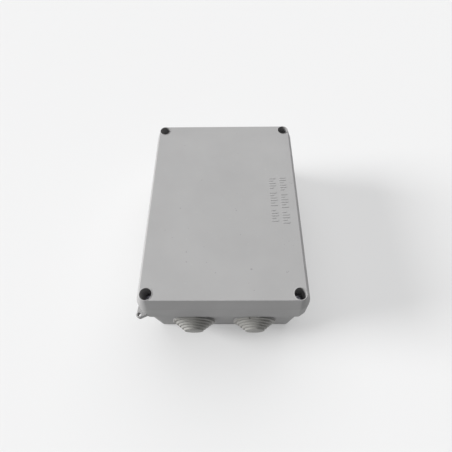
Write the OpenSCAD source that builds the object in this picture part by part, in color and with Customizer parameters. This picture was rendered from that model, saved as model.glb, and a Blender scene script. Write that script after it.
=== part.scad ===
// Wall-mounting electrical junction box: a drafted base shell, a deep screwed lid with a
// gasket, captive lid screws in corner wells and snap-in stepped cable grommets.
// Millimetres. +Z points out of the lid, X runs across the box and Y along it. The origin is
// the centre of the back face, which lies on the wall.

/* [Box] */
// Width across the lid rim
box_w = 110; // [104:1:130]
// Length along the lid rim
box_l = 150; // [144:1:180]
// Height from the back face to the top of the lid
box_h = 70; // [66:1:90]
// Height of the plane where lid and base meet
split_z = 47; // [46:0.5:48]
// Radius of the upright corners at the rim
rim_r = 5; // [4:0.5:5.5]

/* [Lid] */
// Height at which the sloping shoulder starts
shoulder_z = 61.5; // [60:0.5:64]
// Radius of the upright corners at the shoulder
shoulder_r = 8; // [6:0.1:8.2]
// How far the flat top stands in from the rim
top_inset = 3.4; // [3:0.1:3.6]
// Thickness of the lid's top plate
lid_top_t = 2.5; // [2:0.1:3]
// Diameter of the screw wells
well_d = 7.5; // [7:0.1:7.6]
// Distance from the rim to each screw axis
screw_inset = 7.6; // [7.5:0.1:7.8]
// Height of the raised bars on the lid
bar_h = 0.3; // [0.2:0.1:0.4]

/* [Base] */
// How far the wall stands in from the rim at the back face
foot_inset = 3.3; // [2.8:0.1:3.4]
// How far the wall stands in from the rim under the flange
wall_inset = 1.7; // [1.5:0.1:1.9]
// How far the flange under the lid stands in from the rim
flange_inset = 0.4; // [0.3:0.1:0.6]
// Height of the flange's lower edge
flange_z = 39.8; // [39:0.1:41]
// Thickness of the floor
floor_t = 2.5; // [2:0.1:3]

/* [Cable entries] */
// Diameter of the hole for each grommet
entry_d = 25.2; // [25.1:0.1:25.4]
// Height of the entries above the back face
entry_z = 22; // [21:0.5:22.5]
// Distance between the two entries of a short side
entry_pitch_short = 44; // [40:1:44]
// Distance between neighbouring entries of a long side
entry_pitch_long = 42; // [38:1:43]
// How far a grommet stands out of its seat
grommet_out = 7.4; // [7:0.1:9]

/* [Fixings] */
// Distance between wall-fixing holes across the box
fix_w = 72; // [66:1:74]
// Distance between wall-fixing holes along the box
fix_l = 104; // [98:1:106]
// Diameter of the wall-fixing holes
fix_d = 4.6; // [4.2:0.1:5]
// Distance between plate standoffs across the box
standoff_w = 50; // [40:1:54]
// Distance between plate standoffs along the box
standoff_l = 84; // [70:1:88]
// Diameter of the seal-wire holes in the corner ears
seal_d = 2.2; // [2:0.1:2.4]

/* [Hidden] */
$fn = 96;
hull_fn = 32;

box_grey = [0.69, 0.69, 0.69];
grommet_grey = [0.62, 0.61, 0.59];
seal_grey = [0.16, 0.16, 0.17];
steel = [0.72, 0.72, 0.73];
nylon = [0.9, 0.9, 0.87];
brass = [0.78, 0.63, 0.32];

// Where the four screw axes stand
screw_x = box_w / 2 - screw_inset;
screw_y = box_l / 2 - screw_inset;

// Widths across the seal, measured in from the rim, and the matching radii round a screw axis
cavity_in = 5;
groove_in = [1.8, 3.9];
tongue_in = [2.3, 3.4];
gasket_in = [1.9, 3.8];
groove_r = [7, 9.1];
tongue_r = [7.5, 8.6];
gasket_r = [7.1, 9];
cavity_r = 10.3;

// Heights through the seal
joint_gap = 0.15;
base_top = split_z - joint_gap;
tongue_top = split_z + 2.5;
gasket_z = [split_z + 2.6, split_z + 5.45];
groove_top = split_z + 5.5;

// Heights along a screw
well_floor = [split_z + 7.2, split_z + 9.2];
retainer_bore_r = 3.5;
screw_tip_z = split_z - 5.4;
retainer_z = [split_z + 0.5, split_z + 1.3];
head_h = 2.6;
head_r = 3.35;
shank_r = 1.95;
thread_r = 1.98;
neck_r = 1.5;
clear_r = 2.15;

// Threaded insert
insert_l = 7;
insert_r = 2.8;
insert_bore_r = 2.05;

// Corner radii of the base and of the core holes under its screws
wall_r = 5.2;
foot_r = 4.8;
core_r = 2.8;

// Cable entry seats, measured from the rim
seat_in = 1.2;
seat_r = 15.3;
seat_x = box_w / 2 - seat_in;
seat_y = box_l / 2 - seat_in;
wall_t = cavity_in - seat_in;

// Corner ears for a seal wire
lid_ear_t = 3.2;
base_ear_t = 1;
ear_end_r = 2.2;
ear_front_w = 4.4;
ear_side_w = 7;
ear_reach = 5.2;

// Rounded rectangle of half sizes hx and hy
module rounded_outline(hx, hy, r) {
  square([2 * (hx - r), 2 * hy], center = true);
  square([2 * hx, 2 * (hy - r)], center = true);
  for (sx = [-1, 1], sy = [-1, 1])
    translate([sx * (hx - r), sy * (hy - r)]) circle(r);
}

module rounded_slab(hx, hy, r, z0, z1) {
  translate([0, 0, z0]) linear_extrude(z1 - z0) rounded_outline(hx, hy, r);
}

// The inside outline at a distance from the rim, stepping inwards round each screw axis
module seal_outline(inset, r) {
  difference() {
    square([box_w - 2 * inset, box_l - 2 * inset], center = true);
    for (sx = [-1, 1], sy = [-1, 1])
      scale([sx, sy]) translate([screw_x, screw_y]) {
        circle(r);
        square([20, 20]);
      }
  }
}

// A loop that follows the seal, between two distances from the rim
module seal_loop(inset, r, z0, z1) {
  translate([0, 0, z0]) linear_extrude(z1 - z0) difference() {
    seal_outline(inset[0], r[0]);
    seal_outline(inset[1], r[1]);
  }
}

module at_screws() {
  for (sx = [-1, 1], sy = [-1, 1]) translate([sx * screw_x, sy * screw_y, 0]) children();
}

module at_corners(w, l) {
  for (sx = [-1, 1], sy = [-1, 1]) translate([sx * w / 2, sy * l / 2, 0]) children();
}

// Turns a child that points along +X at each of the ten cable entries
module at_entries() {
  for (side = [0, 180], p = [-1, 1])
    rotate([0, 0, side - 90]) translate([seat_y, p * entry_pitch_short / 2, entry_z]) children();
  for (side = [0, 180], p = [-1, 0, 1])
    rotate([0, 0, side]) translate([seat_x, p * entry_pitch_long, entry_z]) children();
}

// Two ears on one diagonal: a round end on straight flanks that widen into the corner
module ears(z0, z1) {
  far = ear_reach * sqrt(2);
  end_w = ear_end_r * 0.985;
  for (turn = [0, 180]) rotate([0, 0, turn])
    translate([-(box_w / 2 - rim_r), -(box_l / 2 - rim_r), z0]) rotate([0, 0, 225]) {
      translate([far, 0]) cylinder(r = ear_end_r, h = z1 - z0);
      linear_extrude(z1 - z0) polygon([
        [-2, ear_front_w], [2, ear_front_w], [far + 0.3, end_w],
        [far + 0.3, -end_w], [2, -ear_side_w], [-2, -ear_side_w]
      ]);
    }
}

module seal_holes(z0, z1) {
  for (turn = [0, 180]) rotate([0, 0, turn])
    translate([-(box_w / 2 - rim_r + ear_reach), -(box_l / 2 - rim_r + ear_reach), z0])
      cylinder(r = seal_d / 2, h = z1 - z0);
}

// Outer form of the base: a drafted wall, eased at the foot, and a flange under the lid
module base_outer() {
  foot_x = box_w / 2 - foot_inset;
  foot_y = box_l / 2 - foot_inset;
  hull() {
    rounded_slab(foot_x - 0.8, foot_y - 0.8, foot_r - 0.8, 0, 0.1, $fn = hull_fn);
    rounded_slab(foot_x, foot_y, foot_r, 1, 1.1, $fn = hull_fn);
    rounded_slab(box_w / 2 - wall_inset, box_l / 2 - wall_inset, wall_r,
      flange_z, flange_z + 0.5, $fn = hull_fn);
  }
  hull() rounded_slab(box_w / 2 - flange_inset, box_l / 2 - flange_inset, rim_r,
    flange_z, base_top, $fn = hull_fn);
}

module base_shell() {
  boss_top = floor_t + 4;
  standoff_top = floor_t + 7;
  color(box_grey) difference() {
    union() {
      difference() {
        union() {
          base_outer();
          ears(split_z - base_ear_t, base_top);
          at_entries() rotate([0, -90, 0]) cylinder(r = seat_r, h = wall_t + 0.6);
        }
        translate([0, 0, floor_t]) linear_extrude(box_h) seal_outline(cavity_in, cavity_r);
      }
      seal_loop(tongue_in, tongue_r, base_top - 1, tongue_top);
      at_corners(fix_w, fix_l) cylinder(r = 5, h = boss_top);
      at_corners(standoff_w, standoff_l) cylinder(r = 3.5, h = standoff_top);
    }
    at_entries() translate([1, 0, 0]) rotate([0, -90, 0])
      cylinder(r = entry_d / 2, h = wall_t + 2);
    at_screws() translate([0, 0, base_top - insert_l]) cylinder(r = insert_r, h = insert_l + 1);
    at_screws() translate([0, 0, -1]) cylinder(r = core_r, h = base_top - insert_l - 3);
    at_corners(fix_w, fix_l) translate([0, 0, -1]) cylinder(r = fix_d / 2, h = boss_top + 2);
    at_corners(standoff_w, standoff_l) translate([0, 0, standoff_top - 6])
      cylinder(r = 1.4, h = 7);
    seal_holes(split_z - base_ear_t - 1, split_z);
  }
}

// Two rows of plain raised bars that stand where a moulded mark would be
module raised_bars() {
  rows = [[35.6, -17, 18, 4.6], [43.2, -18.5, 20, 4.6]];
  pitch = 2.1;
  bar_t = 0.8;
  for (row = rows, i = [0 : row[2] - 1])
    if (i % 7 != 5)
      translate([row[0] - row[3] / 2, row[1] + i * pitch, box_h - 0.5])
        cube([i % 3 == 1 ? row[3] * 0.6 : row[3], bar_t, bar_h + 0.5]);
}

module lid() {
  top_x = box_w / 2 - top_inset;
  top_y = box_l / 2 - top_inset;
  color(box_grey) difference() {
    union() {
      hull() {
        rounded_slab(box_w / 2, box_l / 2, rim_r, split_z, split_z + 0.1, $fn = hull_fn);
        rounded_slab(box_w / 2, box_l / 2, shoulder_r, shoulder_z - 0.1, shoulder_z, $fn = hull_fn);
        rounded_slab(top_x, top_y, screw_inset - top_inset, box_h - 0.1, box_h, $fn = hull_fn);
      }
      ears(split_z, split_z + lid_ear_t);
      raised_bars();
    }
    translate([0, 0, split_z - 1]) linear_extrude(box_h - lid_top_t - split_z + 1)
      seal_outline(cavity_in, cavity_r);
    seal_loop(groove_in, groove_r, split_z - 1, groove_top);
    at_screws() {
      translate([0, 0, well_floor[1]]) cylinder(r = well_d / 2, h = box_h);
      translate([0, 0, split_z - 1]) cylinder(r = clear_r, h = box_h - split_z);
      translate([0, 0, split_z - 1]) cylinder(r = retainer_bore_r, h = well_floor[0] - split_z + 1);
    }
    seal_holes(split_z - 1, split_z + lid_ear_t + 1);
  }
}

module lid_gasket() {
  color(seal_grey) seal_loop(gasket_in, gasket_r, gasket_z[0], gasket_z[1]);
}

// Pan-head screw with a cross recess, a neck for its retainer and a pointed threaded end
module lid_screw(sx, sy) {
  head_z = well_floor[1];
  color(steel) translate([sx * screw_x, sy * screw_y, 0]) difference() {
    rotate_extrude() polygon([
      [0, screw_tip_z],
      [thread_r - 0.7, screw_tip_z],
      [thread_r, screw_tip_z + 0.7],
      [thread_r, retainer_z[0] - 0.2],
      [neck_r, retainer_z[0] - 0.2],
      [neck_r, retainer_z[1] + 0.2],
      [shank_r, retainer_z[1] + 0.2],
      [shank_r, head_z],
      [head_r, head_z],
      [head_r, head_z + head_h * 0.55],
      [head_r * 0.86, head_z + head_h * 0.85],
      [head_r * 0.55, head_z + head_h],
      [0, head_z + head_h]
    ]);
    for (turn = [0, 90]) translate([0, 0, head_z + head_h - 0.6]) rotate([0, 0, turn])
      cube([3.6, 0.9, 3.6], center = true);
  }
}

// Nylon ring in the neck of a screw, which keeps a loosened screw in the lid
module screw_retainer(sx, sy) {
  color(nylon) translate([sx * screw_x, sy * screw_y, retainer_z[0]]) difference() {
    cylinder(r = retainer_bore_r - 0.3, h = retainer_z[1] - retainer_z[0]);
    translate([0, 0, -1]) cylinder(r = neck_r + 0.08, h = 3);
  }
}

module threaded_insert(sx, sy) {
  color(brass) translate([sx * screw_x, sy * screw_y, base_top - insert_l]) difference() {
    union() {
      cylinder(r = insert_r - 0.25, h = insert_l);
      for (z = [0.6, 4.6]) translate([0, 0, z]) cylinder(r = insert_r, h = 2.6);
    }
    translate([0, 0, -1]) cylinder(r = insert_bore_r, h = insert_l + 2);
  }
}

// Stepped grommet along +X, its flange face on the seat at x = 0. The notch is turned by
// notch_angle, counted from the top towards +Y
module grommet_form(notch_angle) {
  groove_rad = entry_d / 2 - 0.1;
  rings = 4;
  flange_t = 1.2;
  flange_rad = 15.1;
  ring_rad = 12.8;
  tip_rad = 7.2;
  tip_crown = 0.4;
  skin = 1.1;
  step_out = (grommet_out - tip_crown - flange_t) / rings;
  step_in = (ring_rad - tip_rad) / (rings - 1);
  ring_pts = [for (i = [0 : rings - 1]) let (
      r = ring_rad - step_in * i,
      x = flange_t + step_out * i
    ) each [[r, x], [r, x + step_out * 0.6], [r - step_in * 0.3, x + step_out]]];
  inner_pts = [for (i = [rings - 1 : -1 : 0])
    [ring_rad - step_in * (i + 0.3) - skin, flange_t + step_out * (i + 1) - skin]];
  rotate([0, 90, 0]) rotate([0, 0, notch_angle]) difference() {
    rotate_extrude() polygon(concat(
      [[flange_rad, 0], [flange_rad, flange_t * 0.6], [flange_rad - 0.5, flange_t]],
      ring_pts,
      [[tip_rad / 2, grommet_out - tip_crown / 4], [0, grommet_out], [0, grommet_out - skin]],
      inner_pts,
      [
        [groove_rad - 1.5, 0],
        [groove_rad - 1.5, -wall_t - 1.6],
        [groove_rad + 0.4, -wall_t - 1.6],
        [groove_rad + 1.2, -wall_t],
        [groove_rad, -wall_t],
        [groove_rad, 0]
      ]
    ));
    translate([-flange_rad, 0, flange_t * 0.5]) cube([3, 1.1, flange_t + 1], center = true);
  }
}

// One grommet at its entry: side turns it to its wall, along is its place on that wall
module grommet(side, along, notch_angle) {
  reach = side % 180 == 0 ? seat_x : seat_y;
  color(grommet_grey) rotate([0, 0, side]) translate([reach, along, entry_z])
    grommet_form(notch_angle);
}

base_shell();
lid();
lid_gasket();
lid_screw(-1, -1);  // lid_screw_front_left
lid_screw(1, -1);  // lid_screw_front_right
lid_screw(-1, 1);  // lid_screw_back_left
lid_screw(1, 1);  // lid_screw_back_right
screw_retainer(-1, -1);  // screw_retainer_front_left
screw_retainer(1, -1);  // screw_retainer_front_right
screw_retainer(-1, 1);  // screw_retainer_back_left
screw_retainer(1, 1);  // screw_retainer_back_right
threaded_insert(-1, -1);  // threaded_insert_front_left
threaded_insert(1, -1);  // threaded_insert_front_right
threaded_insert(-1, 1);  // threaded_insert_back_left
threaded_insert(1, 1);  // threaded_insert_back_right
grommet(-90, -entry_pitch_short / 2, 65);  // grommet_front_left
grommet(-90, entry_pitch_short / 2, 16);  // grommet_front_right
grommet(90, entry_pitch_short / 2, 200);  // grommet_back_left
grommet(90, -entry_pitch_short / 2, 110);  // grommet_back_right
grommet(180, entry_pitch_long, 40);  // grommet_left_front
grommet(180, 0, 300);  // grommet_left_middle
grommet(180, -entry_pitch_long, 150);  // grommet_left_back
grommet(0, -entry_pitch_long, 250);  // grommet_right_front
grommet(0, 0, 85);  // grommet_right_middle
grommet(0, entry_pitch_long, 10);  // grommet_right_back
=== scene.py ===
"""Looks of a surface-mounted junction box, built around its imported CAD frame.

Lengths in this script are millimetres, and MM turns them into Blender's metres. The camera, the floor
and the materials' bump distances are in metres.
"""

import math

import bmesh
import bpy
from mathutils import Matrix, Vector


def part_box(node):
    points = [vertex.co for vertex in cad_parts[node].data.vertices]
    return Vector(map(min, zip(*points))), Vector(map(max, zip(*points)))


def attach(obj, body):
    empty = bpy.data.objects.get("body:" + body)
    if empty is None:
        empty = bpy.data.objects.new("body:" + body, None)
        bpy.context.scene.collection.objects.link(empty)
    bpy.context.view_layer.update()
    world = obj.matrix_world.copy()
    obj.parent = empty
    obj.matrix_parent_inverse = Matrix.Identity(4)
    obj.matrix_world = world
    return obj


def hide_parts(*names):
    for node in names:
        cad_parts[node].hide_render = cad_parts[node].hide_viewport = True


MM = 0.001

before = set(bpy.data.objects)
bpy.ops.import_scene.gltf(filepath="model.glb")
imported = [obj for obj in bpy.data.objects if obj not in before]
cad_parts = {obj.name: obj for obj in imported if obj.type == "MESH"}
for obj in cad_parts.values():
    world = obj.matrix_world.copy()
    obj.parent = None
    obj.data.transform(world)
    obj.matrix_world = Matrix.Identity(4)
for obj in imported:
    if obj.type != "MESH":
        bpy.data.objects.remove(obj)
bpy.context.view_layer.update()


def size_of(node):
    """Lowest and highest corner of a CAD node in millimetres."""
    low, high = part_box(node)
    return low / MM, high / MM


# Dimensions taken from the frame
lid_low, lid_high = size_of("lid")
screw_low, screw_high = size_of("lid_screw_back_right")
insert_low, insert_high = size_of("threaded_insert_back_right")
ring_low, ring_high = size_of("screw_retainer_back_right")
gasket_low, gasket_high = size_of("lid_gasket")
entry_high = size_of("grommet_right_middle")[1]

SCREW_X = (screw_low.x + screw_high.x) / 2
SCREW_Y = (screw_low.y + screw_high.y) / 2
GASKET_INSET = 1.9
HALF_X = gasket_high.x + GASKET_INSET
HALF_Y = gasket_high.y + GASKET_INSET
SPLIT_Z = lid_low.z
BASE_TOP = insert_high.z
BAR_HEIGHT = 0.3
TOP_Z = lid_high.z - BAR_HEIGHT

# Lid
SHOULDER_Z = 61.5
TOP_INSET = 3.4
RIM_RADIUS = 5.0
SHOULDER_RADIUS = 8.0
TOP_RADIUS = HALF_X - TOP_INSET - SCREW_X
LID_TOP_THICKNESS = 2.5
WELL_RADIUS = 3.75
WELL_FLOOR = (SPLIT_Z + 7.2, SPLIT_Z + 9.2)
CLEAR_RADIUS = 2.15
WELL_EASING = 0.2
BEAD_RADIUS, BEAD_HEIGHT = WELL_RADIUS + 0.5, 0.2
RETAINER_BORE = 3.5

# Seal
CAVITY_INSET, CAVITY_RADIUS = 5.0, 10.3
GROOVE_INSET, GROOVE_RADIUS, GROOVE_TOP = (1.8, 3.9), (7.0, 9.1), SPLIT_Z + 5.5
TONGUE_INSET, TONGUE_RADIUS = (2.3, 3.4), (7.5, 8.6)
GASKET_SPAN, GASKET_RADIUS = (1.9, 3.8), (7.1, 9.0)

# Base
FOOT_INSET, WALL_INSET, FLANGE_INSET = 3.3, 1.7, 0.4
FLANGE_Z = 39.8
FLOOR = 2.5
WALL_RADIUS, FOOT_RADIUS, CORE_RADIUS = 5.2, 4.8, 2.8
FIXING_X, FIXING_Y, FIXING_RADIUS = 36, 52, 2.3
STANDOFF_X, STANDOFF_Y, PILOT_RADIUS = 25, 42, 1.4
BOSS_TOP, STANDOFF_TOP = FLOOR + 4, FLOOR + 7

# Cable entries
SEAT_INSET = 1.2
SEAT_RADIUS = 15.3
SEAT_DEPTH = CAVITY_INSET - SEAT_INSET
ENTRY_RADIUS = 12.6
GROMMET_OUT = entry_high.x - (HALF_X - SEAT_INSET)

# Ears
EAR_REACH = 5.2
EAR_END_RADIUS = 2.2
EAR_FRONT, EAR_SIDE = 4.4, 7.0
EAR_ROOT = 2.0
EAR_SWEEP = 78
EAR_HOLE = 1.1
EAR_HOLE_MOUTH = EAR_HOLE + 0.35
LID_EAR, BASE_EAR = 3.2, 1.0

CORNER_STEPS = 14
ROUND_STEPS = 96
WELD_DISTANCE = 0.0005

# Signs of the four corners, in turn round the box
QUARTERS = ((1, 1), (-1, 1), (-1, -1), (1, -1))

# ---------------------------------------------------------------- outlines


def soften(path, steps=4):
    """An open path of (u, v, radius) corners with each corner rounded to its radius."""
    points = []
    for i, (u, v, radius) in enumerate(path):
        here = Vector((u, v))
        if radius == 0 or i in (0, len(path) - 1):
            points.append((u, v))
            continue
        back = (Vector(path[i - 1][:2]) - here).normalized()
        ahead = (Vector(path[i + 1][:2]) - here).normalized()
        half = back.angle(ahead) / 2
        centre = here + (back + ahead).normalized() * radius / math.sin(half)
        start = here + back * radius / math.tan(half) - centre
        end = here + ahead * radius / math.tan(half) - centre
        first = math.atan2(start.y, start.x)
        sweep = math.remainder(math.atan2(end.y, end.x) - first, math.tau)
        for k in range(steps + 1):
            a = first + sweep * k / steps
            points.append((centre.x + radius * math.cos(a), centre.y + radius * math.sin(a)))
    return points


def rounded_rectangle(half_x, half_y, radius, z, steps):
    """Points round a rectangle with round corners."""
    points = []
    for quarter, (sx, sy) in enumerate(QUARTERS):
        cx, cy = sx * (half_x - radius), sy * (half_y - radius)
        for i in range(steps + 1):
            a = math.radians(90 * (quarter + i / steps))
            points.append((cx + radius * math.cos(a), cy + radius * math.sin(a), z))
    return points


def rounded_ring(inset, radius, z):
    """Points round the box at a distance in from the rim."""
    return rounded_rectangle(HALF_X - inset, HALF_Y - inset, radius, z, CORNER_STEPS)


def circle_ring(radius, z, steps=ROUND_STEPS):
    """Points round a circle about Z."""
    return [
        (radius * math.cos(math.tau * i / steps), radius * math.sin(math.tau * i / steps), z)
        for i in range(steps)
    ]


def seal_ring(inset, radius, z, steps=18):
    """The seal's loop: straight along the rim, and round each screw on its inner side."""
    start = -math.acos((HALF_X - inset - SCREW_X) / radius)
    end = -math.pi - math.asin((HALF_Y - inset - SCREW_Y) / radius)
    arc = [start + (end - start) * i / steps for i in range(steps + 1)]
    corner = [(SCREW_X + radius * math.cos(a), SCREW_Y + radius * math.sin(a)) for a in arc]
    points = []
    for sx, sy in QUARTERS:
        for x, y in corner if sx * sy > 0 else reversed(corner):
            points.append((sx * x, sy * y, z))
    return points


def ear_ring(grow, z, steps=20):
    """Outline of one ear in its own axes, +X away from the corner, from the corner's centre."""
    far = EAR_REACH * math.sqrt(2)
    end, front, side = EAR_END_RADIUS + grow, EAR_FRONT + grow, EAR_SIDE + grow
    turn = math.radians(EAR_SWEEP)
    points = []
    for i in range(steps + 1):
        a = -turn + 2 * turn * i / steps
        points.append((far + end * math.cos(a), end * math.sin(a), z))
    root = [(EAR_ROOT, front, z), (-EAR_ROOT, front, z), (-EAR_ROOT, -side, z), (EAR_ROOT, -side, z)]
    return points + root


# ---------------------------------------------------------------- solids


def loft(rings, closed=False):
    """A skin over rings of points, with flat ends unless it is closed. A ring of one point is a tip."""
    points, starts = [], []
    for ring in rings:
        starts.append(len(points))
        points += ring
    faces = []
    pairs = list(zip(range(len(rings) - 1), range(1, len(rings))))
    if closed:
        pairs.append((len(rings) - 1, 0))
    n = max(len(ring) for ring in rings)
    for a, b in pairs:
        first, second = starts[a], starts[b]
        for i in range(n):
            k = (i + 1) % n
            if len(rings[a]) == 1:
                faces.append((first, second + k, second + i))
            elif len(rings[b]) == 1:
                faces.append((first + i, first + k, second))
            else:
                faces.append((first + i, first + k, second + k, second + i))
    for ring, start in ((rings[0], starts[0]), (rings[-1], starts[-1])):
        if not closed and len(ring) > 1:
            faces.append(tuple(range(start, start + n)))
    return points, faces


def turned(path, steps=ROUND_STEPS, closed=False):
    """A solid turned round Z from (radius, height) points."""
    return loft([circle_ring(r, z, steps) if r else [(0, 0, z)] for r, z in path], closed)


def placed(shape, place):
    """A shape moved to a place."""
    points, faces = shape
    return [tuple(place @ Vector(p)) for p in points], faces


def joined(shapes):
    """Several shapes as one list of points and faces."""
    points, faces = [], []
    for more_points, more_faces in shapes:
        start = len(points)
        points += more_points
        faces += [tuple(i + start for i in face) for face in more_faces]
    return points, faces


def solid(name, shape):
    """A mesh object from a shape in millimetres, its faces turned outwards."""
    mesh = bpy.data.meshes.new(name)
    mesh.from_pydata([tuple(c * MM for c in p) for p in shape[0]], [], shape[1])
    bm = bmesh.new()
    bm.from_mesh(mesh)
    bmesh.ops.recalc_face_normals(bm, faces=bm.faces)
    bm.to_mesh(mesh)
    bm.free()
    made = bpy.data.objects.new(name, mesh)
    bpy.context.scene.collection.objects.link(made)
    return made


def carve(piece, *steps):
    """Joins shapes to a piece or cuts them from it, one (operation, shape) after another."""
    for operation, shape in steps:
        tool = solid("tool", shape)
        change = piece.modifiers.new("carve", "BOOLEAN")
        change.operation, change.solver, change.object = operation, "MANIFOLD", tool
        bpy.context.view_layer.update()
        done = piece.evaluated_get(bpy.context.evaluated_depsgraph_get())
        mesh = bpy.data.meshes.new_from_object(done)
        piece.modifiers.clear()
        spare = piece.data
        piece.data = mesh
        bpy.data.meshes.remove(spare)
        spare = tool.data
        bpy.data.objects.remove(tool)
        bpy.data.meshes.remove(spare)
    return piece


def finish_surface(piece, smooth_angle=32):
    """Smooth normals that break at real edges and stay flat on flat faces."""
    bm = bmesh.new()
    bm.from_mesh(piece.data)
    bmesh.ops.remove_doubles(bm, verts=bm.verts, dist=WELD_DISTANCE * MM)
    bmesh.ops.dissolve_degenerate(bm, edges=bm.edges, dist=WELD_DISTANCE * MM)
    bm.to_mesh(piece.data)
    bm.free()
    piece.data.shade_smooth()
    piece.data.set_sharp_from_angle(angle=math.radians(smooth_angle))
    weigh = piece.modifiers.new("flat faces", "WEIGHTED_NORMAL")
    weigh.mode = "FACE_AREA"
    weigh.keep_sharp = True
    return piece


def dress(piece, material, body, nodes):
    """Gives a piece its material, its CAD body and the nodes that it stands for."""
    piece.data.materials.clear()
    piece.data.materials.append(material)
    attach(piece, body)
    if nodes:
        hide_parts(*nodes)
    return piece


def corners(x, y):
    """The four places at a distance each way from the middle."""
    return [Matrix.Translation((sx * x, sy * y, 0)) for sx in (-1, 1) for sy in (-1, 1)]


EAR_PLACES = [
    Matrix.Rotation(math.radians(turn), 4, "Z")
    @ Matrix.Translation((-(HALF_X - RIM_RADIUS), -(HALF_Y - RIM_RADIUS), 0))
    @ Matrix.Rotation(math.radians(225), 4, "Z")
    for turn in (0, 180)
]
EAR_HOLE_PLACES = [p @ Matrix.Translation((EAR_REACH * math.sqrt(2), 0, 0)) for p in EAR_PLACES]


def entry_place(node):
    """Axes of a cable entry: +Z out of the wall, +Y up, its origin on the seat."""
    low, high = size_of(node)
    middle = (low + high) / 2
    if abs(middle.x) > HALF_X * 0.8:
        out = Vector((math.copysign(1, middle.x), 0, 0))
        spot = Vector((out.x * (HALF_X - SEAT_INSET), middle.y, middle.z))
    else:
        out = Vector((0, math.copysign(1, middle.y), 0))
        spot = Vector((middle.x, out.y * (HALF_Y - SEAT_INSET), middle.z))
    up = Vector((0, 0, 1))
    side = up.cross(out)
    turn = Matrix((side, up, out)).transposed().to_4x4()
    return Matrix.Translation(spot) @ turn


GROMMET_NODES = sorted(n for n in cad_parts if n.startswith("grommet_"))
ENTRY_PLACES = {node: entry_place(node) for node in GROMMET_NODES}

# ---------------------------------------------------------------- materials


def node_tree(name):
    """A new material, its node tree and its surface shader."""
    material = bpy.data.materials.new(name)
    material.use_nodes = True
    tree = material.node_tree
    shader = tree.nodes["Principled BSDF"]
    return material, tree, shader


def add_node(tree, kind, inputs=None, **settings):
    """A new node with its settings, and its inputs linked or set."""
    node = tree.nodes.new(kind)
    for key, value in settings.items():
        setattr(node, key, value)
    for key, value in (inputs or {}).items():
        if isinstance(value, bpy.types.NodeSocket):
            tree.links.new(value, node.inputs[key])
        else:
            node.inputs[key].default_value = value
    return node


def noise(tree, place, scale, detail=3.0, roughness=0.55):
    """Cloudy noise at a number of features per metre."""
    return add_node(
        tree, "ShaderNodeTexNoise",
        {"Vector": place, "Scale": scale, "Detail": detail, "Roughness": roughness},
    ).outputs["Fac"]


def shade(colour, factor):
    """A colour made lighter or darker, no brighter than white, with its alpha."""
    return tuple(min(1, c * factor) for c in colour) + (1,)


def spread(tree, value, low, high, to_low, to_high):
    """A value mapped from one span to another and held inside it."""
    return add_node(
        tree, "ShaderNodeMapRange",
        {"Value": value, "From Min": low, "From Max": high, "To Min": to_low, "To Max": to_high},
    ).outputs["Result"]


def mix(tree, amount, first, second):
    """Two colours mixed by an amount."""
    node = add_node(tree, "ShaderNodeMix", data_type="RGBA")
    for socket, value in ((node.inputs[0], amount), (node.inputs[6], first), (node.inputs[7], second)):
        if isinstance(value, bpy.types.NodeSocket):
            tree.links.new(value, socket)
        else:
            socket.default_value = value
    return node.outputs[2]


def bump(tree, height, strength, distance, under=None):
    """Normals raised by a height, over other bumped normals if there are any."""
    inputs = {"Height": height, "Strength": strength, "Distance": distance}
    if under is not None:
        inputs["Normal"] = under
    return add_node(tree, "ShaderNodeBump", inputs).outputs["Normal"]


def moulded_plastic(name, colour, grain, roughness):
    """Spark-eroded moulding: a faint cloudy tone, a fine grain and a few tiny specks."""
    material, tree, shader = node_tree(name)
    place = add_node(tree, "ShaderNodeTexCoord").outputs["Object"]
    cloud = spread(tree, noise(tree, place, 26, 4), 0.35, 0.65, 0, 1)
    tone = mix(tree, cloud, shade(colour, 0.97), shade(colour, 1.03))
    speck_noise = noise(tree, place, 720, 1, 0.3)
    pale = spread(tree, speck_noise, 0.765, 0.785, 0, 0.1)
    tone = mix(tree, pale, tone, shade(colour, 1.7))
    soot = spread(tree, noise(tree, place, 420, 1, 0.3), 0.785, 0.8, 0, 0.35)
    tone = mix(tree, soot, tone, shade(colour, 0.4))
    tree.links.new(tone, shader.inputs["Base Color"])
    rough = spread(tree, noise(tree, place, 60, 3), 0.3, 0.7, roughness - 0.05, roughness + 0.07)
    tree.links.new(rough, shader.inputs["Roughness"])
    fine = bump(tree, noise(tree, place, grain, 3, 0.6), 0.16, 0.00008)
    waves = bump(tree, noise(tree, place, 90, 2), 0.05, 0.0004, fine)
    tree.links.new(waves, shader.inputs["Normal"])
    shader.inputs["IOR"].default_value = 1.5
    shader.inputs["Specular IOR Level"].default_value = 0.22
    return material


def rubber(name, colour, roughness, grain=1500):
    """Satin elastomer with a faint bloom and flow marks."""
    material, tree, shader = node_tree(name)
    place = add_node(tree, "ShaderNodeTexCoord").outputs["Object"]
    bloom = spread(tree, noise(tree, place, 75, 5, 0.6), 0.4, 0.68, 0, 1)
    tone = mix(tree, bloom, shade(colour, 0.95), shade(colour, 1.08))
    dust = spread(tree, noise(tree, place, 900, 2), 0.66, 0.74, 0, 0.18)
    tone = mix(tree, dust, tone, shade(colour, 1.6))
    tree.links.new(tone, shader.inputs["Base Color"])
    rough = spread(tree, noise(tree, place, 140, 3), 0.3, 0.7, roughness - 0.06, roughness + 0.08)
    tree.links.new(rough, shader.inputs["Roughness"])
    fine = bump(tree, noise(tree, place, grain, 2), 0.12, 0.00008)
    tree.links.new(fine, shader.inputs["Normal"])
    shader.inputs["Specular IOR Level"].default_value = 0.25
    return material


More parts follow.
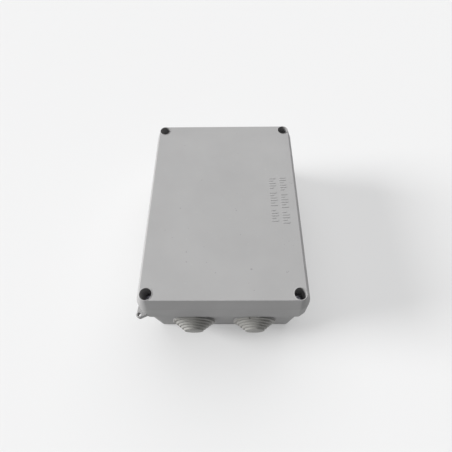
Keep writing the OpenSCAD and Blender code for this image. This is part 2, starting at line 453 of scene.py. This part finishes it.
def metal(name, colour, roughness, tint):
    """Plated or machined metal with drifting tone and fine scratches."""
    material, tree, shader = node_tree(name)
    place = add_node(tree, "ShaderNodeTexCoord").outputs["Object"]
    drift = spread(tree, noise(tree, place, 160, 4), 0.35, 0.65, 0, 1)
    tree.links.new(mix(tree, drift, colour + (1,), tint + (1,)), shader.inputs["Base Color"])
    rough = spread(tree, noise(tree, place, 520, 4), 0.3, 0.7, roughness - 0.08, roughness + 0.12)
    tree.links.new(rough, shader.inputs["Roughness"])
    stretched = add_node(tree, "ShaderNodeMapping", {"Vector": place, "Scale": (900, 900, 9000)})
    scratches = noise(tree, stretched.outputs["Vector"], 1, 2)
    tree.links.new(bump(tree, scratches, 0.1, 0.00003), shader.inputs["Normal"])
    shader.inputs["Metallic"].default_value = 1.0
    return material


box_plastic = moulded_plastic("box plastic", (0.348, 0.345, 0.344), 1900, 0.55)
grommet_rubber = rubber("grommet rubber", (0.330, 0.325, 0.308), 0.5)
gasket_rubber = rubber("gasket rubber", (0.022, 0.022, 0.024), 0.62, 2400)
screw_steel = metal("zinc plated steel", (0.50, 0.50, 0.56), 0.6, (0.58, 0.57, 0.62))
insert_brass = metal("machined brass", (0.70, 0.50, 0.22), 0.3, (0.60, 0.42, 0.2))
retainer_nylon = moulded_plastic("natural nylon", (0.72, 0.70, 0.62), 2600, 0.42)

# ---------------------------------------------------------------- lid


def lid_corner_radius(inset, z):
    """Radius of the lid's upright corners: it grows up to the shoulder and shrinks above it."""
    if z < SHOULDER_Z:
        climb = (z - SPLIT_Z) / (SHOULDER_Z - SPLIT_Z)
        return RIM_RADIUS + (SHOULDER_RADIUS - RIM_RADIUS) * climb - inset
    if inset <= TOP_INSET:
        return SHOULDER_RADIUS - (SHOULDER_RADIUS - TOP_RADIUS) * inset / TOP_INSET
    return TOP_RADIUS - (inset - TOP_INSET)


def ear(z0, z1, top_round, foot_round):
    """Two ears as plates with eased edges."""
    path = soften([(1.2, z0, 0), (0, z0, foot_round), (0, z1, top_round), (1.2, z1, 0)], 5)
    plate = loft([ear_ring(-inset, z) for inset, z in path])
    return joined(placed(plate, place) for place in EAR_PLACES)


def seal_prism(inset, radius, path):
    """A solid that fills the seal's loop, its wall stepped in by a path of (step, z)."""
    return loft([seal_ring(inset + step, radius + step, z) for step, z in path])


def seal_band(insets, radii, path):
    """A closed band along the seal, from a path of (share across, z) points."""
    def at(share, z):
        return seal_ring(
            insets[0] + (insets[1] - insets[0]) * share, radii[0] + (radii[1] - radii[0]) * share, z
        )
    return loft([at(share, z) for share, z in path], closed=True)


def band_section(width, z0, z1, easing):
    """Corners of a band's section, eased at one end or both, as (share across, z)."""
    low, high = easing
    start = (width / 2, z0, 0)
    path = [start, (0, z0, low), (0, z1, high), (width, z1, high), (width, z0, low), start]
    return [(u / width, v) for u, v in soften(path, 3)][:-1]


def make_lid():
    outer = soften([
        (0.9, SPLIT_Z, 0), (0, SPLIT_Z, 0.3), (0, SHOULDER_Z, 3.0), (TOP_INSET, TOP_Z, 0.45),
        (TOP_INSET + 0.6, TOP_Z, 0),
    ], 6)
    piece = solid("lid_moulding", loft([rounded_ring(i, lid_corner_radius(i, z), z) for i, z in outer]))
    bead_top = TOP_Z + BEAD_HEIGHT
    mouth_radius = WELL_RADIUS + WELL_EASING * 1.6
    well = soften([
        (RETAINER_BORE + 0.3, SPLIT_Z - 0.3, 0), (RETAINER_BORE, SPLIT_Z, 0.3),
        (RETAINER_BORE, WELL_FLOOR[0], 0), (CLEAR_RADIUS, WELL_FLOOR[0], 0),
        (CLEAR_RADIUS, WELL_FLOOR[1], 0), (WELL_RADIUS, WELL_FLOOR[1], 0.4),
        (WELL_RADIUS, bead_top, WELL_EASING), (mouth_radius, bead_top + 0.02, 0),
        (mouth_radius, TOP_Z + 1, 0),
    ], 5)
    ceiling = TOP_Z - LID_TOP_THICKNESS
    hollow = [(-0.3, SPLIT_Z - 0.3)] + soften(
        [(0, SPLIT_Z, 0), (0, ceiling, 1.2), (1.6, ceiling, 0)], 5
    )
    groove = [(0, SPLIT_Z - 0.5), (0, GROOVE_TOP), (1, GROOVE_TOP), (1, SPLIT_Z - 0.5)]
    hole_top = SPLIT_Z + LID_EAR
    hole = [
        (EAR_HOLE, SPLIT_Z - 1), (EAR_HOLE, hole_top - 0.3),
        (EAR_HOLE_MOUTH, hole_top + 0.05), (EAR_HOLE_MOUTH, hole_top + 1),
    ]
    bead = turned(soften([
        (WELL_RADIUS - 1, TOP_Z - 0.6, 0), (BEAD_RADIUS, TOP_Z - 0.6, 0), (BEAD_RADIUS, bead_top, 0.25),
        (WELL_RADIUS - 1, bead_top, 0),
    ], 5))
    beads = [placed(bead, place) for place in corners(SCREW_X, SCREW_Y)]
    cuts = [placed(turned(well), place) for place in corners(SCREW_X, SCREW_Y)]
    cuts += [placed(turned(hole, 40), place) for place in EAR_HOLE_PLACES]
    cuts.append(seal_prism(CAVITY_INSET, CAVITY_RADIUS, hollow))
    cuts.append(seal_band(GROOVE_INSET, GROOVE_RADIUS, groove))
    carve(
        piece,
        ("UNION", ear(SPLIT_Z, SPLIT_Z + LID_EAR, 0.5, 0.15)),
        ("UNION", joined(beads)),
        ("DIFFERENCE", joined(cuts)),
    )
    return finish_surface(piece)


def make_bars():
    """Plain raised bars in two rows. Every third bar is short, and every seventh is left out."""
    pitch, width, full, short = 2.1, 0.8, 4.6, 0.6
    shapes = []
    for middle, start, count in ((35.6, -17, 18), (43.2, -18.5, 20)):
        for i in range(count):
            if i % 7 == 5:
                continue
            long = full * (short if i % 3 == 1 else 1)
            place = Matrix.Translation((middle - full / 2 + long / 2, start + i * pitch + width / 2, 0))
            shapes.append(placed(rounded_bar(long, width, TOP_Z - 0.2, TOP_Z + BAR_HEIGHT), place))
    return finish_surface(solid("lid_raised_bars", joined(shapes)))


def rounded_bar(long, width, z0, z1):
    """A low bar with round ends and an eased top."""
    end_radius = 0.35
    section = soften([(0, z0, 0), (0, z1, 0.18), (0.25, z1, 0)], 3)
    return loft([
        rounded_rectangle(long / 2 - inset, width / 2 - inset, end_radius - inset * 0.9, z, 4)
        for inset, z in section
    ])


# ---------------------------------------------------------------- base


def base_corner_radius(inset):
    """Radius of the base's upright corners at a distance in from the rim."""
    if inset <= WALL_INSET:
        climb = (inset - FLANGE_INSET) / (WALL_INSET - FLANGE_INSET)
        return RIM_RADIUS + (WALL_RADIUS - RIM_RADIUS) * climb
    if inset <= FOOT_INSET:
        climb = (inset - WALL_INSET) / (FOOT_INSET - WALL_INSET)
        return WALL_RADIUS + (FOOT_RADIUS - WALL_RADIUS) * climb
    return FOOT_RADIUS - (inset - FOOT_INSET)


def floor_post(radius, foot, top, easing):
    """A round post on the floor with a spread foot and an eased top."""
    return turned(soften([
        (foot + 0.2, FLOOR - 0.5, 0), (foot, FLOOR, 0), (radius, FLOOR + 1.2, 0.8), (radius, top, easing),
        (radius - 2, top, 0),
    ]), 64)


def make_base():
    outer = soften([
        (FOOT_INSET + 1.6, 0, 0), (FOOT_INSET, 0, 1.1), (WALL_INSET, FLANGE_Z, 0.35),
        (FLANGE_INSET, FLANGE_Z, 0.3), (FLANGE_INSET, BASE_TOP, 0.25), (FLANGE_INSET + 0.7, BASE_TOP, 0),
    ], 5)
    piece = solid("base_moulding", loft([rounded_ring(i, base_corner_radius(i), z) for i, z in outer]))
    seat_foot = -SEAT_DEPTH - 0.6
    seat = turned(soften([(SEAT_RADIUS, seat_foot, 0), (SEAT_RADIUS, 0, 0.45), (ENTRY_RADIUS, 0, 0)]))
    seats = joined(placed(seat, place) for place in ENTRY_PLACES.values())
    ears = ear(SPLIT_Z - BASE_EAR, BASE_TOP, 0.15, 0.4)
    hollow = soften([(1.8, FLOOR, 0), (0, FLOOR, 1.5), (0, BASE_TOP, 0)], 5) + [(-0.3, BASE_TOP + 0.3)]
    tongue = band_section(
        TONGUE_INSET[1] - TONGUE_INSET[0], BASE_TOP - 0.8, SPLIT_Z + 2.5, (0, 0.4)
    )
    boss = floor_post(5, 6.2, BOSS_TOP, 0.4)
    standoff = floor_post(3.5, 4.5, STANDOFF_TOP, 0.35)
    added = [placed(boss, p) for p in corners(FIXING_X, FIXING_Y)]
    added += [placed(standoff, p) for p in corners(STANDOFF_X, STANDOFF_Y)]
    added.append(seal_band(TONGUE_INSET, TONGUE_RADIUS, tongue))

    insert_seat = insert_low.z
    core_top = insert_seat - 4
    ear_foot = SPLIT_Z - BASE_EAR
    entry = [(ENTRY_RADIUS, -SEAT_DEPTH - 2), (ENTRY_RADIUS, 1)]
    cuts = [placed(turned(entry), p) for p in ENTRY_PLACES.values()]
    insert_radius = (insert_high.x - insert_low.x) / 2
    socket = [(insert_radius, insert_seat), (insert_radius, BASE_TOP + 1)]
    cuts += [placed(turned(socket, 64), p) for p in corners(SCREW_X, SCREW_Y)]
    core = soften([
        (CORE_RADIUS + 0.3, -0.6, 0), (CORE_RADIUS, 0.3, 0), (CORE_RADIUS, core_top, 1.5), (1, core_top, 0),
    ])
    cuts += [placed(turned(core, 64), p) for p in corners(SCREW_X, SCREW_Y)]
    fixing = [
        (FIXING_RADIUS + 0.6, -0.3), (FIXING_RADIUS, 0.3),
        (FIXING_RADIUS, BOSS_TOP - 0.4), (FIXING_RADIUS + 0.8, BOSS_TOP + 0.4),
    ]
    cuts += [placed(turned(fixing, 64), p) for p in corners(FIXING_X, FIXING_Y)]
    pilot = [
        (0.4, STANDOFF_TOP - 6.3), (PILOT_RADIUS, STANDOFF_TOP - 5.5),
        (PILOT_RADIUS, STANDOFF_TOP - 0.3), (PILOT_RADIUS + 0.6, STANDOFF_TOP + 0.3),
    ]
    cuts += [placed(turned(pilot, 48), p) for p in corners(STANDOFF_X, STANDOFF_Y)]
    hole = [(EAR_HOLE_MOUTH, ear_foot - 0.3), (EAR_HOLE, ear_foot + 0.1), (EAR_HOLE, BASE_TOP + 1)]
    cuts += [placed(turned(hole, 40), p) for p in EAR_HOLE_PLACES]
    carve(
        piece,
        ("UNION", joined([seats, ears])),
        ("DIFFERENCE", seal_prism(CAVITY_INSET, CAVITY_RADIUS, hollow)),
        ("UNION", joined(added)),
        ("DIFFERENCE", joined(cuts)),
    )
    return finish_surface(piece)


# ---------------------------------------------------------------- grommets

# How far each grommet is turned in its hole, in degrees, which is where its notch stands
NOTCH_TURNS = {
    "grommet_front_left": 65, "grommet_front_right": 16, "grommet_back_left": 200,
    "grommet_back_right": 110, "grommet_left_front": 40, "grommet_left_middle": 300,
    "grommet_left_back": 150, "grommet_right_front": 250, "grommet_right_middle": 85,
    "grommet_right_back": 10,
}
FLANGE_RADIUS = 15.1
FLANGE_THICKNESS = 1.2
RINGS = 4
RING_RADIUS = 12.8
TIP_RADIUS = 7.2
TIP_CROWN = 0.4
SKIN = 1.1
STEP_OUT = (GROMMET_OUT - TIP_CROWN - FLANGE_THICKNESS) / RINGS
STEP_IN = (RING_RADIUS - TIP_RADIUS) / (RINGS - 1)


def make_grommet_shape():
    """A closed cone of rounded rings on a flange, hollow from behind, with a barb inside the wall."""
    cone = [(FLANGE_RADIUS - 1.5, 0, 0), (FLANGE_RADIUS, 0, 0.2), (FLANGE_RADIUS, FLANGE_THICKNESS, 0.55)]
    for k in range(RINGS):
        radius = RING_RADIUS - STEP_IN * k
        rise = FLANGE_THICKNESS + STEP_OUT * k
        cone += [(radius, rise - 0.12, 0.3), (radius - 0.1, rise + STEP_OUT, 0.75)]
    cone += [
        (TIP_RADIUS - 1.6, GROMMET_OUT - TIP_CROWN, 2.5), (TIP_RADIUS * 0.4, GROMMET_OUT - 0.06, 4),
        (0, GROMMET_OUT, 0),
    ]
    cup = [(0, GROMMET_OUT - SKIN)]
    cup += [
        (RING_RADIUS - STEP_IN * (k + 0.3) - SKIN, FLANGE_THICKNESS + STEP_OUT * (k + 1) - SKIN)
        for k in reversed(range(RINGS))
    ]
    back = -SEAT_DEPTH - 1.6
    neck = ENTRY_RADIUS - 0.1
    barb = soften([
        (neck - 1.5, 0, 0), (neck - 1.5, back, 0.4), (neck + 0.4, back, 0.4),
        (neck + 1.2, -SEAT_DEPTH, 0.2), (neck, -SEAT_DEPTH, 0.15), (neck, 0, 0.1),
        (FLANGE_RADIUS - 1.5, 0, 0),
    ], 4)
    return turned(cup + barb + soften(cone, 5), 144)


def notch_shape():
    """A narrow slot across the flange's rim, at the top."""
    return loft([
        [(x, FLANGE_RADIUS - 1.5 + dy, z) for x, dy in ((-0.55, 0), (0.55, 0), (0.55, 3), (-0.55, 3))]
        for z in (0.3, 3)
    ])


def make_grommets():
    shape = make_grommet_shape()
    for node in GROMMET_NODES:
        turn = ENTRY_PLACES[node] @ Matrix.Rotation(math.radians(NOTCH_TURNS[node]), 4, "Z")
        piece = solid(node + "_moulding", placed(shape, turn))
        carve(piece, ("DIFFERENCE", placed(notch_shape(), turn)))
        finish_surface(piece, 40)
        dress(piece, grommet_rubber, "base", [node])


# ---------------------------------------------------------------- seal, screws, inserts


def make_gasket():
    width = GASKET_SPAN[1] - GASKET_SPAN[0]
    section = band_section(width, gasket_low.z, gasket_high.z, (0.35, 0.25))
    return finish_surface(solid("gasket_strip", seal_band(GASKET_SPAN, GASKET_RADIUS, section)))


def threaded_ring(root, crest, pitch, z, steps=40):
    """One level of a right-hand thread: the radius rises and falls once round."""
    points = []
    for i in range(steps):
        share = (z / pitch - i / steps) % 1
        height = max(0.0, min(1.0, 2.6 * (0.5 - abs(share - 0.5)) - 0.15))
        radius = root + (crest - root) * height
        a = math.tau * i / steps
        points.append((radius * math.cos(a), radius * math.sin(a), z))
    return points


def screw_shape():
    """A pan-head screw along Z at its real heights, centred on the axis."""
    tip, top = screw_low.z, screw_high.z
    head = WELL_FLOOR[1]
    neck = (ring_low.z - 0.2, ring_high.z + 0.2)
    crest, root, pitch = 1.98, 1.62, 0.7
    head_radius = (screw_high.x - screw_low.x) / 2
    rings = [circle_ring(0.9, tip, 40), circle_ring(1.3, tip + 0.35, 40)]
    levels = int((neck[0] - 0.3 - (tip + 0.7)) / (pitch / 8))
    for k in range(levels + 1):
        z = tip + 0.7 + k * pitch / 8
        ease = min(1, k / 6, (levels - k) / 4 + 0.2)
        rings.append(threaded_ring(root, root + (crest - root) * ease, pitch, z))
    shank = soften([
        (1.5, neck[0], 0), (1.5, neck[1], 0), (1.95, neck[1] + 0.3, 0), (1.95, head, 0),
        (head_radius, head, 0.2), (head_radius, head + 1.35, 0.9), (head_radius * 0.62, top, 1.2),
        (0.6, top, 0),
    ], 4)
    rings += [circle_ring(r, z, 40) for r, z in shank]
    return loft(rings)


def recess_shape():
    """A cross recess that narrows downwards."""
    top = screw_high.z
    blades = []
    for turn in (0, 90):
        rings = []
        for z, long, wide in ((top - 1.7, 0.55, 0.3), (top - 1.2, 1.1, 0.36), (top + 0.5, 1.85, 0.46)):
            rings.append([(x * long, y * wide, z) for x, y in ((1, 1), (-1, 1), (-1, -1), (1, -1))])
        blades.append(placed(loft(rings), Matrix.Rotation(math.radians(turn), 4, "Z")))
    return blades


def insert_shape():
    """A knurled brass insert with an eased mouth."""
    low, high = insert_low.z, insert_high.z
    knurled = (insert_high.x - insert_low.x) / 2
    plain, bore, steps = knurled - 0.25, 2.05, 96
    outer = [
        (plain, low), (plain, low + 0.6), (knurled, low + 0.75), (knurled, low + 3.05),
        (plain, low + 3.2), (plain, low + 4.6), (knurled, low + 4.75), (knurled, high - 0.15),
        (knurled - 0.15, high),
    ]
    rings = []
    for radius, z in outer:
        depth = 0.14 if radius > plain else 0
        rings.append([
            ((radius - depth * (i % 4 > 1)) * math.cos(math.tau * i / steps),
             (radius - depth * (i % 4 > 1)) * math.sin(math.tau * i / steps), z)
            for i in range(steps)
        ])
    rings += [circle_ring(r, z, steps) for r, z in ((bore + 0.3, high), (bore, high - 0.3), (bore, low))]
    return loft(rings, closed=True)


def make_fasteners():
    corner_names = {
        "front_left": (-1, -1), "front_right": (1, -1), "back_left": (-1, 1), "back_right": (1, 1),
    }
    screw, insert = screw_shape(), insert_shape()
    inner, rim = 1.58, 3.2
    start = (inner, ring_low.z, 0)
    washer = turned(soften([
        start, (rim, ring_low.z, 0.15), (rim, ring_high.z, 0.15), (inner, ring_high.z, 0.1), start,
    ], 3)[:-1], 64, closed=True)
    for name, (sx, sy) in corner_names.items():
        place = Matrix.Translation((sx * SCREW_X, sy * SCREW_Y, 0))
        turn = place @ Matrix.Rotation(math.radians(25 + 40 * sx + 15 * sy), 4, "Z")
        piece = solid("screw_" + name + "_steel", placed(screw, turn))
        for blade in recess_shape():
            carve(piece, ("DIFFERENCE", placed(blade, turn)))
        dress(finish_surface(piece, 38), screw_steel, "screw_" + name, ["lid_screw_" + name])
        piece = finish_surface(solid("retainer_" + name + "_ring", placed(washer, place)))
        dress(piece, retainer_nylon, "retainer_" + name, ["screw_retainer_" + name])
        piece = finish_surface(solid("insert_" + name + "_brass", placed(insert, place)))
        dress(piece, insert_brass, "base", ["threaded_insert_" + name])


dress(make_lid(), box_plastic, "lid", ["lid"])
dress(make_bars(), box_plastic, "lid", [])
dress(make_base(), box_plastic, "base", ["base_shell"])
dress(make_gasket(), gasket_rubber, "lid", ["lid_gasket"])
make_grommets()
make_fasteners()

# ---------------------------------------------------------------- stage, camera, light


def make_floor():
    """A pale floor just under the box, 12 m across."""
    half, level = 6.0, -0.0002
    mesh = bpy.data.meshes.new("floor")
    edge = [(x * half, y * half, level) for x, y in ((-1, -1), (1, -1), (1, 1), (-1, 1))]
    mesh.from_pydata(edge, [], [(0, 1, 2, 3)])
    floor = bpy.data.objects.new("floor", mesh)
    bpy.context.scene.collection.objects.link(floor)
    material, tree, shader = node_tree("pale floor")
    shader.inputs["Base Color"].default_value = (0.45, 0.45, 0.45, 1)
    shader.inputs["Roughness"].default_value = 0.9
    shader.inputs["Specular IOR Level"].default_value = 0.1
    shader.inputs["Emission Color"].default_value = (1, 1, 1, 1)
    shader.inputs["Emission Strength"].default_value = 0.33
    mesh.materials.append(material)


def sun_light(name, towards, strength, softness):
    """Parallel soft light from a direction, as wide across as softness in degrees."""
    data = bpy.data.lights.new(name, "SUN")
    data.energy = strength
    data.angle = math.radians(softness)
    lamp = bpy.data.objects.new(name, data)
    lamp.rotation_euler = Vector(towards).to_track_quat("Z", "Y").to_euler()
    bpy.context.scene.collection.objects.link(lamp)


def make_camera():
    """A camera high over the front side. Its pitch is measured down from level, its yaw from +Y."""
    spot = Vector((0.0043, -0.1232, 0.2610))
    pitch, yaw, roll = (math.radians(a) for a in (61.7, -1.37, -1.47))
    ahead = Vector((math.sin(yaw) * math.cos(pitch), math.cos(yaw) * math.cos(pitch), -math.sin(pitch)))
    right = Vector((math.cos(yaw), -math.sin(yaw), 0))
    up = right.cross(ahead)
    c, s = math.cos(roll), math.sin(roll)
    right, up = c * right + s * up, c * up - s * right
    data = bpy.data.cameras.new("camera")
    data.sensor_width = 36.0
    data.lens = 25.41
    camera = bpy.data.objects.new("camera", data)
    camera.matrix_world = Matrix.Translation(spot) @ Matrix((right, up, -ahead)).transposed().to_4x4()
    bpy.context.scene.collection.objects.link(camera)
    bpy.context.scene.camera = camera


def make_world():
    """A faint, slightly cool fill from all round."""
    world = bpy.data.worlds.new("studio")
    world.use_nodes = True
    background = world.node_tree.nodes["Background"]
    background.inputs["Color"].default_value = (0.94, 0.96, 1, 1)
    background.inputs["Strength"].default_value = 0.12
    bpy.context.scene.world = world


make_floor()
make_camera()
make_world()
sun_light("key", (-0.92, 0.0, 0.42), 4.0, 24)
sun_light("overhead", (0.05, 0.50, 0.86), 2.25, 75)
bpy.context.scene.view_settings.view_transform = "Standard"
